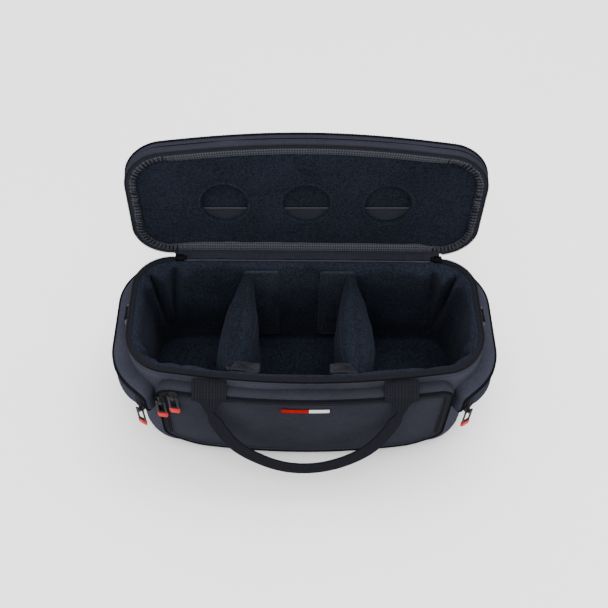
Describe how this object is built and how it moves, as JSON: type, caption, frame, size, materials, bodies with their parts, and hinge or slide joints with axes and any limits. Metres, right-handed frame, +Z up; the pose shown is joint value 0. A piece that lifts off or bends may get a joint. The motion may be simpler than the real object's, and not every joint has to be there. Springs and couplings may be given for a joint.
{
  "type": "padded zip carry bag",
  "caption": "Soft padded rectangular carry bag with a hinged zip lid, removable dividers, webbing handles and zip pockets.",
  "frame": {"origin": "centre of the flat base, on the surface it stands on", "axes": "+X along the length to the right as seen from the front, -Y out of the front with the handle and wide pocket, +Z up"},
  "size_m": [0.4458, 0.2619, 0.3477],
  "materials": {
    "outer": "woven synthetic, dark purple-grey",
    "lining": "brushed navy-black",
    "foam": "closed-cell foam",
    "tape": "grey ribbed binding tape",
    "webbing": "woven webbing",
    "plastic": "black moulded",
    "tag": "woven red tag",
    "metal": "black coated wire"
  },
  "bodies": {
    "bag": {"back_tab_left": "webbing", "back_tab_right": "webbing", "base_board": "plastic", "base_foam": "foam", "body_hinge_leaf": "outer", "body_lining": "lining", "body_rim_binding": "outer", "body_shell": "outer", "body_zip_half": "tape", "d_ring_left_tab": "webbing", "d_ring_right_tab": "webbing", "foam_back": "foam", "foam_front": "foam", "foam_left": "foam", "foam_right": "foam", "front_pocket_gusset": "outer", "front_pocket_panel": "outer", "front_pocket_zip": "webbing", "front_tab_left": "webbing", "front_tab_right": "webbing", "label_tag": "tag", "left_pocket_gusset": "outer", "left_pocket_panel": "outer", "left_pocket_zip": "webbing", "main_left_slider": "plastic", "main_right_slider": "plastic", "right_pocket_gusset": "outer", "right_pocket_panel": "outer", "right_pocket_zip": "webbing"},
    "lid": {"lid_hinge_leaf": "outer", "lid_shell": "outer", "lid_piping": "outer", "lid_zip_half": "tape", "lid_wall_foam": "foam", "lid_binding_tape": "tape", "lid_lining": "lining", "lid_pad": "foam", "window_trim_left": "outer", "window_trim_middle": "outer", "window_trim_right": "outer", "lid_pocket_mesh": "webbing", "lid_backing": "lining", "lid_board": "plastic", "lid_foam": "foam"},
    "front_handle": {"front_handle": "webbing"},
    "back_handle": {"back_handle": "webbing"},
    "divider_left": {"divider_left": "lining"},
    "divider_right": {"divider_right": "lining"},
    "d_ring_left": {"d_ring_left": "metal"},
    "d_ring_right": {"d_ring_right": "metal"},
    "front_left_slider": {"front_left_slider": "plastic"},
    "front_top_slider": {"front_top_slider": "plastic"},
    "left_slider": {"left_slider": "plastic"},
    "right_slider": {"right_slider": "plastic"},
    "front_left_pull": {"front_left_pull": "plastic"},
    "front_top_pull": {"front_top_pull": "plastic"},
    "left_pull": {"left_pull": "plastic"},
    "right_pull": {"right_pull": "plastic"},
    "main_left_pull": {"main_left_pull": "plastic"},
    "main_right_pull": {"main_right_pull": "plastic"}
  },
  "joints": [
    {"name": "lid_hinge", "type": "hinge", "parent": "bag", "child": "lid", "pos_m": [0, 0.077, 0.175], "axis": [-1, 0, 0], "range_deg": [-94, 59]},
    {"name": "front_handle_swing", "type": "hinge", "parent": "bag", "child": "front_handle", "pos_m": [0, -0.10758, 0.158], "axis": [1, 0, 0], "range_deg": [-155, 0]},
    {"name": "back_handle_swing", "type": "hinge", "parent": "bag", "child": "back_handle", "pos_m": [0, 0.081, 0.14], "axis": [-1, 0, 0], "range_deg": [-115, 0]},
    {"name": "divider_left_lift", "type": "slide", "parent": "bag", "child": "divider_left", "axis": [0, 0, 1], "range_m": [0, 0.17]},
    {"name": "divider_right_lift", "type": "slide", "parent": "bag", "child": "divider_right", "axis": [0, 0, 1], "range_m": [0, 0.17]},
    {"name": "d_ring_left_swing", "type": "hinge", "parent": "bag", "child": "d_ring_left", "pos_m": [-0.2064, 0, 0.163], "axis": [0, 1, 0], "range_deg": [0, 90]},
    {"name": "d_ring_right_swing", "type": "hinge", "parent": "bag", "child": "d_ring_right", "pos_m": [0.2064, 0, 0.163], "axis": [0, -1, 0], "range_deg": [0, 90]},
    {"name": "front_left_zip", "type": "slide", "parent": "bag", "child": "front_left_slider", "axis": [0, 0, 1], "range_m": [-0.09, 0]},
    {"name": "front_left_pull_swing", "type": "hinge", "parent": "front_left_slider", "child": "front_left_pull", "pos_m": [-0.16508, -0.10081, 0.138], "axis": [0.9568, -0.2907, 0], "range_deg": [-100, 0]},
    {"name": "front_top_zip", "type": "slide", "parent": "bag", "child": "front_top_slider", "axis": [0.9934, -0.1147, 0], "range_m": [0, 0.012]},
    {"name": "front_top_pull_swing", "type": "hinge", "parent": "front_top_slider", "child": "front_top_pull", "pos_m": [-0.14723, -0.10433, 0.152], "axis": [0.988, -0.1546, 0], "range_deg": [-100, 0]},
    {"name": "left_zip", "type": "slide", "parent": "bag", "child": "left_slider", "axis": [0, 0, 1], "range_m": [-0.008, 0.018]},
    {"name": "left_pull_swing", "type": "hinge", "parent": "left_slider", "child": "left_pull", "pos_m": [-0.19075, -0.09357, 0.112], "axis": [0.8156, -0.5786, 0], "range_deg": [-100, 0]},
    {"name": "right_zip", "type": "slide", "parent": "bag", "child": "right_slider", "axis": [0, 0, 1], "range_m": [-0.008, 0.018]},
    {"name": "right_pull_swing", "type": "hinge", "parent": "right_slider", "child": "right_pull", "pos_m": [0.19075, -0.09357, 0.112], "axis": [0.8156, 0.5786, 0], "range_deg": [-100, 0]},
    {"name": "main_left_pull_swing", "type": "hinge", "parent": "bag", "child": "main_left_pull", "pos_m": [-0.15757, 0.07988, 0.163], "axis": [-0.9944, -0.1059, 0], "range_deg": [-55, 0]},
    {"name": "main_right_pull_swing", "type": "hinge", "parent": "bag", "child": "main_right_pull", "pos_m": [0.15757, 0.07988, 0.163], "axis": [-0.9944, 0.1059, 0], "range_deg": [-55, 0]}
  ]
}
